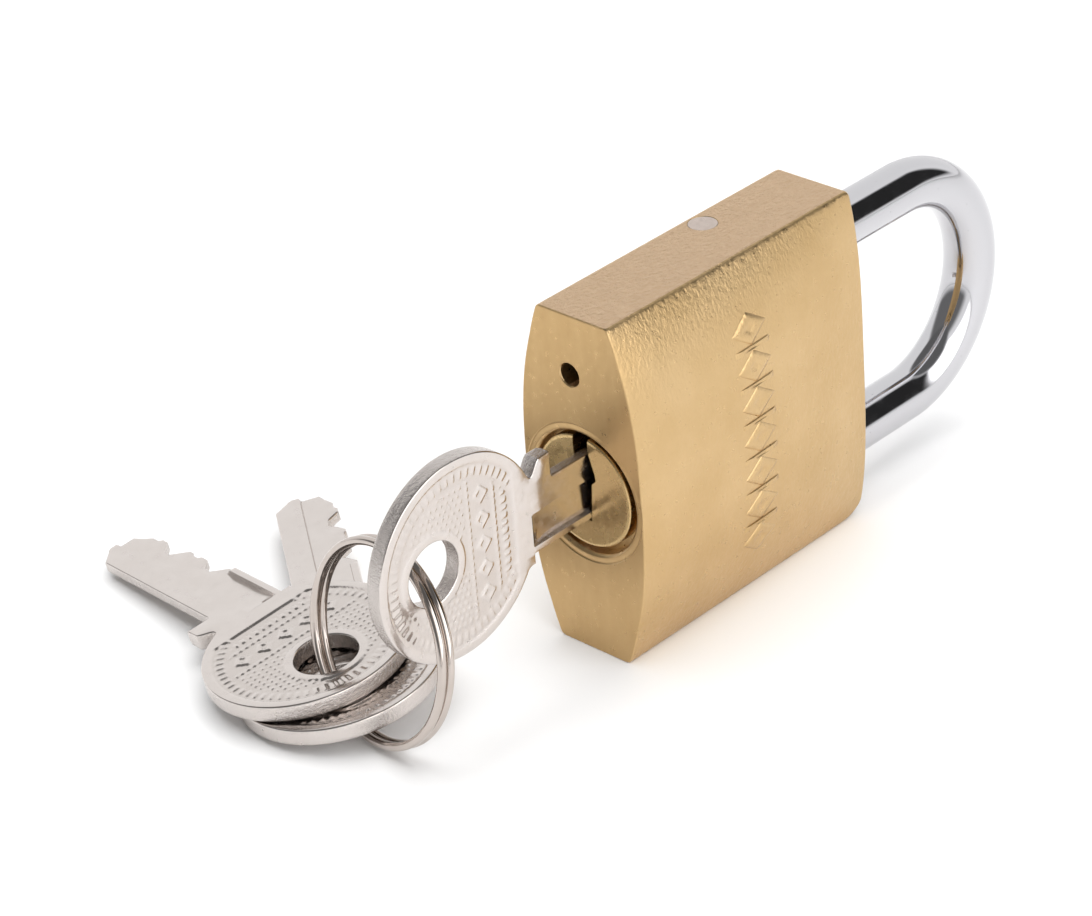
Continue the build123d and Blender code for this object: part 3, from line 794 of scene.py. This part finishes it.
def inward(points, distance):
    """The same closed outline, moved in to its left by distance."""
    out = []
    count = len(points)
    for i in range(count):
        before, here, after = points[i - 1], points[i], points[(i + 1) % count]
        first = (here - before).normalized()
        second = (after - here).normalized()
        normal = Vector((-first.y - second.y, first.x + second.x))
        if normal.length < 1e-6:
            normal = Vector((-first.y, first.x))
        normal.normalize()
        out.append(here + normal * distance)
    return out


def smooth(value, low, high):
    """0 at low and 1 at high, smooth between. low may be the larger."""
    t = min(1.0, max(0.0, (value - low) / (high - low)))
    return t * t * (3 - 2 * t)


def bump_dot(u, v, pitch, size):
    """Height of a grid of round studs, 0 to 1."""
    row = round(v / pitch)
    shift = pitch / 2 if row % 2 else 0.0
    du = (u - shift + pitch / 2) % pitch - pitch / 2
    dv = v - row * pitch
    reach = math.hypot(du, dv)
    return max(0.0, 1 - (reach / size) ** 2)


def lozenge(u, v, centre_u, pitch, half_u, half_v):
    """Height of a column of raised lozenges with sunk middles."""
    dv = (v + pitch / 2) % pitch - pitch / 2
    reach = abs(u - centre_u) / half_u + abs(dv) / half_v
    return smooth(reach, 1.0, 0.75) - 0.8 * smooth(reach, 0.5, 0.3)


def bow_relief(u, v):
    """Depth of the stamped pattern on the bow at a point, zero or less."""
    reach = math.hypot(u, v)
    hole = math.hypot(u - HOLE_OFFSET, v)
    inside = smooth(BOW_R - FIELD_RIM - reach, 0, 0.25) * smooth(hole - HOLE_R - 0.8, 0, 0.3)
    inside *= smooth(FENCE_U - u, 0, 0.25)
    if inside <= 0:
        return 0.0
    bead = 0.5 + 0.5 * math.cos(math.atan2(v, u) * BEADS)
    height = 0.75 * bead * smooth(abs(reach - BEAD_R), 0.7, 0.35)
    centre = smooth(BEAD_R - 0.95 - reach, 0, 0.2)
    if BAND_LOW - 0.5 < u < BAND_HIGH + 0.5:
        wave = 0.65 + 0.35 * math.cos(v * 2 * math.pi / 0.8)
        for line in (BAND_LOW, BAND_HIGH):
            height = max(height, 0.8 * wave * smooth(abs(u - line), 0.32, 0.12) * centre)
        height = max(height, lozenge(u, v, (BAND_LOW + BAND_HIGH) / 2, 2.9, 1.3, 1.25) * centre)
    elif u > BAND_HIGH + 0.5:
        bars = smooth(abs((v + BAR_PITCH / 2) % BAR_PITCH - BAR_PITCH / 2), 0.3, 0.18)
        height = max(height, 0.8 * bars * smooth(abs(u - 6.6), 0.5, 0.35) * centre)
    else:
        fade = smooth(abs(v), 1.6, 2.2)
        height = max(height, 0.75 * bump_dot(u, v, STUD_PITCH, STUD_R) * centre * fade)
    return -FIELD_DEPTH * inside * (1 - height)


def run_out(u, start, length):
    """Depth left by a round cutter that leaves the blade, 0 at start and 1 after length."""
    t = min(1.0, max(0.0, (u - start) / length))
    return 1 - (1 - t) ** 2


def milled_front(u, v):
    """Depth of the milled bands on the blade's local low side, zero or less."""
    deep = 0.2 * smooth(u, COLLAR_FRONT - STEP, COLLAR_FRONT)
    deep += MILLED_DEPTH * run_out(u, COLLAR_FRONT, RUN_OUT)
    shallow = 0.15 * run_out(u, COLLAR_FRONT + 1.2, 3.0)
    lower = smooth(v, 0, STEP)
    lip = smooth(v, LIP_V, LIP_V + STEP) * smooth(u, LIP_END, LIP_END - 1)
    return -(deep * lower * (1 - lip) + shallow * (1 - lower))


def milled_back(u, v):
    """Depth of the milled band on the other side, along the plain edge."""
    along = smooth(u, COLLAR_BACK - STEP, COLLAR_BACK)
    return -MILLED_DEPTH * along * smooth(v, MILLED_BACK_V, MILLED_BACK_V - STEP)


def key_points():
    """Points and constraint edges for the key's flat mesh, and how far each rim point is drawn down."""
    outer = key_outline()
    hole = arc_points((HOLE_OFFSET, 0), HOLE_R, 360, 0, 0.3)[:-1]
    points, edges, drops = [], [], []
    for inset, drop in ((0.0, 0.14), (0.05, 0.04), (0.16, 0.0)):
        for loop in (inward(outer, inset), inward(hole, inset)):
            start = len(points)
            edges += [(start + i, start + (i + 1) % len(loop)) for i in range(len(loop))]
            points += loop
            drops += [drop] * len(loop)
    steps = int(BOW_R / BOW_GRID) + 1
    for i in range(-steps, steps + 1):
        for j in range(-steps, steps + 1):
            point = Vector((i * BOW_GRID + (BOW_GRID / 2 if j % 2 else 0), j * BOW_GRID))
            hole_reach = (point - HOLE_CENTRE).length
            if point.length < BOW_R - 0.35 and hole_reach > HOLE_R + 0.35 and point.x < FENCE_U + 0.6:
                points.append(point)
    lines = [(v, LIP_END - COLLAR_FRONT - 0.1, 30) for v in (LIP_V, LIP_V + STEP)]
    for edge, way in ((0, 1), (MILLED_BACK_V, -1)):
        rows = (edge, edge + way * STEP / 2, edge + way * STEP)
        lines += [(v, KEY_LENGTH - COLLAR_FRONT - 0.5, 100) for v in rows]
    for v, reach, count in lines:
        start = len(points)
        points += [Vector((COLLAR_FRONT + 0.1 + reach * i / count, v)) for i in range(count + 1)]
        edges += [(start + i, start + i + 1) for i in range(count)]
    collar_front = (COLLAR_FRONT, STEP, HALF_BLADE - 0.1)
    collar_back = (COLLAR_BACK, 0.3 - BLADE_BACK, MILLED_BACK_V - STEP)
    for u, low, high in (collar_front, collar_back):
        for shift in (-STEP, -STEP / 2, 0):
            points += [Vector((u + shift, low + (high - low) * i / 20)) for i in range(21)]
    for i in range(50):
        for j in range(-7, 8):
            if abs(j * BLADE_GRID) < 4.2 - (0 if j < 0 else 1.9):
                points.append(Vector((9.3 + i * 0.52, j * BLADE_GRID + 0.3)))
    return points, edges, drops


def key_mesh():
    """The whole key, flat in XY with its bow at the origin, as vertices and faces."""
    points, edges, drops = key_points()
    flat, _, triangles, *_ = delaunay_2d_cdt(points, edges, [], 1, 1e-5)

    def clear_of_hole(triangle):
        middle = sum((flat[i] for i in triangle), Vector((0, 0))) / 3
        return (middle - HOLE_CENTRE).length > HOLE_R * 0.995

    triangles = [tuple(t) for t in triangles if clear_of_hole(t)]
    drop_at = {(round(p.x, 4), round(p.y, 4)): drop for p, drop in zip(points, drops)}
    tops, lows = [], []
    for p in flat:
        level = KEY_HALF - drop_at.get((round(p.x, 4), round(p.y, 4)), 0.0)
        if p.x < FENCE_U + 0.5:
            level += bow_relief(p.x, p.y)
        tops.append((p.x, p.y, level + milled_back(p.x, p.y)))
        lows.append((p.x, p.y, -level - milled_front(p.x, p.y)))
    count = len(flat)
    faces = triangles + [tuple(count + i for i in reversed(t)) for t in triangles]
    open_edges = {}
    for t in triangles:
        for a, b in zip(t, t[1:] + t[:1]):
            if (b, a) in open_edges:
                del open_edges[(b, a)]
            else:
                open_edges[(a, b)] = True
    verts = tops + lows
    walls = {}

    def wall(i):
        """Vertices down the key's edge at rim vertex i."""
        if i not in walls:
            top, low = Vector(verts[i]), Vector(verts[count + i])
            row = [i]
            for k in (0.25, 0.5, 0.75):
                verts.append(tuple(top.lerp(low, k)))
                row.append(len(verts) - 1)
            walls[i] = row + [count + i]
        return walls[i]

    for a, b in open_edges:
        left, right = wall(a), wall(b)
        for k in range(len(left) - 1):
            faces.append((left[k], left[k + 1], right[k + 1], right[k]))
    return verts, faces


def keys():
    verts, faces = key_mesh()
    for name, body, node, place in (
        ("working_key_stamped", "plug_and_key", "working_key", working_place()),
        ("spare_key_stamped_1", "spare_key_upper", "spare_key_1", spare_place(upper_bow(), UPPER_AZIMUTH)),
        ("spare_key_stamped_2", "spare_key_lower", "spare_key_2", spare_place(LOWER_BOW, LOWER_AZIMUTH)),
    ):
        obj = piece(name, verts, faces, MATERIALS["key"], body, [node], 50)
        obj.matrix_world = place


def placed(x_dir, y_dir, z_dir, origin):
    turn = Matrix((x_dir, y_dir, z_dir)).transposed().to_4x4()
    return Matrix.Translation(Vector(origin) * MM) @ turn


def working_place():
    """Upright in the plug with its cuts down."""
    x_dir, y_dir = Vector((1, 0, 0)), Vector((0, 0, -1))
    return placed(x_dir, y_dir, x_dir.cross(y_dir), (BOW_X, 0, BOW_Z))


def upper_bow():
    """Bow centre of the upper spare key, one plate and a gap above the lower one."""
    apart = 2 * KEY_HALF + SPARE_KEY_GAP
    dx, dy = UPPER_BOW_XY[0] - LOWER_BOW.x, UPPER_BOW_XY[1] - LOWER_BOW.y
    rise = (apart - SPARE_NORMAL.x * dx - SPARE_NORMAL.y * dy) / SPARE_NORMAL.z
    return Vector((*UPPER_BOW_XY, LOWER_BOW.z + rise))


def spare_place(bow, azimuth):
    """Face down in the plane of the spare keys, with the blade towards azimuth."""
    flat = Vector((math.cos(math.radians(azimuth)), math.sin(math.radians(azimuth)), 0))
    flat.z = -flat.dot(SPARE_NORMAL) / SPARE_NORMAL.z
    x_dir = flat.normalized()
    z_dir = -SPARE_NORMAL
    return placed(x_dir, z_dir.cross(x_dir), z_dir, bow)


# ======================================================================== plug and emblem
def plug_barrel():
    """The turned plug with its keyway, pin bores, retaining groove and the seat of the cam's tongue."""
    profile = [(0.02, 0.0), (2.0, 0.0), (4.0, 0.0), (6.1, 0.0), (6.34, 0.05), (6.46, 0.16), (PLUG_R, 0.32)]
    profile += [(PLUG_R, 2.0), (PLUG_GROOVE_R, 2.02), (PLUG_GROOVE_R, 3.48), (PLUG_R, 3.5)]
    profile += [(PLUG_R, 27.2), (6.3, PLUG_LENGTH), (0.02, PLUG_LENGTH)]
    verts, faces = lathe(profile, (KEYWAY_X, 0, PLUG_Z), (1, 0, 0), 128)
    barrel = piece("plug_barrel", verts, faces, MATERIALS["plug"], "plug_and_key", ["plug"], 30)
    keyway = [(-0.9, 16.2), (1.05, 16.2), (1.05, 27.0), (-1.0, 27.0)]
    keyway += [(-1.0, 24.4), (-1.75, 22.0), (-1.85, 21.3), (-1.25, 20.7)]
    seat = [(-1.0, 15.5), (1.0, 15.5), (1.0, 23.5), (-1.0, 23.5)]

    def slot(outline, start, end):
        cut(barrel, *loops_to_mesh([[(KEYWAY_X + x, y, z) for y, z in outline] for x in (start, end)]))

    slot(keyway, -1, SLOT_END)
    for index in range(PIN_COUNT):
        cut(barrel, *lathe([(PIN_BORE_R, -8.0), (PIN_BORE_R, 1.0)], (pin_x(index), 0, PLUG_Z), (0, 0, 1), 48))
    slot(seat, PLUG_LENGTH - 2, PLUG_LENGTH + 1)
    finish_shading(barrel, 30, (0,))


def emblem():
    """A generic column of raised lozenges and bars that follows the broad face."""
    verts, faces = [], []
    steps = EMBLEM_STEPS

    def pad(outline_at, centre_z):
        start = len(verts)
        for i in range(steps + 1):
            for j in range(steps + 1):
                a, b = 2 * i / steps - 1, 2 * j / steps - 1
                x, z = outline_at(a, b)
                rim = max(abs(a), abs(b))
                high = smooth(rim, 1.0, 0.72) * 1.15 - 0.15 - 0.75 * smooth(rim, 0.42, 0.2)
                at_x, at_z = EMBLEM_X + x, centre_z + z
                depth = half_thickness(at_x, at_z) + EMBOSS * 0.85 * high
                verts.append((KEYWAY_X + at_x, -depth, at_z))
        row = steps + 1
        for i in range(steps):
            for j in range(steps):
                corner = start + i * row + j
                faces.append((corner, corner + row, corner + row + 1, corner + 1))

    def lozenge_at(a, b):
        return (a + b) * 1.45, (a - b) * 0.95

    def bar_at(a, b):
        return a * 2.9, b * 0.36

    for index in range(EMBLEM_COUNT):
        centre_z = EMBLEM_LOW_Z + index * EMBLEM_PITCH
        pad(lozenge_at, centre_z)
        if index:
            pad(bar_at, centre_z - EMBLEM_PITCH / 2)
    mesh_piece = piece("face_emblem", verts, faces, MATERIALS["case"], "lock_case", [], 60)
    solidify = mesh_piece.modifiers.new("body", "SOLIDIFY")
    solidify.thickness = 0.3 * MM
    solidify.offset = -1


# ======================================================================== the split ring
def split_ring():
    """Two turns of wire side by side, with a short step where one turn passes to the other."""
    side = RING_AXIS.cross(Vector((0, 0, 1))).normalized()
    other = RING_AXIS.cross(side)
    path = []
    for i in range(RING_STEPS + 1):
        t = RING_TURNS * i / RING_STEPS
        angle = RING_START + 2 * math.pi * t
        along = (smooth(t, 0.93, 1.07) - 0.5) * RING_PITCH
        spoke = side * math.cos(angle) + other * math.sin(angle)
        path.append(RING_CENTRE + RING_AXIS * along + spoke * RING_R)
    radii = [WIRE_R] * len(path)
    radii[0] = radii[-1] = WIRE_R * 0.75
    verts, faces = tube(path, RING_AXIS, radii, 32)
    piece("split_ring_wire", verts, faces, MATERIALS["ring"], "ring", ["key_ring"], 40)


# ======================================================================== CAD nodes that stay
def dress_cad_nodes():
    for name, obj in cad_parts.items():
        if "spring" in name:
            material = MATERIALS["spring"]
        elif name == "plug" or name.startswith(("key_pin", "driver_pin", "chamber_plug", "latch_bore_plug")):
            material = MATERIALS["plug"]
        else:
            material = MATERIALS["steel"]
        obj.data.materials.clear()
        obj.data.materials.append(material)


camera()
studio()
overhead_light()
table_top()
bpy.context.scene.view_settings.view_transform = "Standard"
MATERIALS = {
    "case": case_brass(),
    "plug": plug_brass(),
    "chrome": chrome(),
    "key": key_nickel(),
    "ring": ring_nickel(),
    "steel": plain_steel("pin_steel", (0.66, 0.56, 0.5), 0.34),
    "spring": plain_steel("spring_steel", (0.5, 0.5, 0.52), 0.25),
}
dress_cad_nodes()
case_shell()
shackle_bar()
keys()
plug_barrel()
emblem()
split_ring()
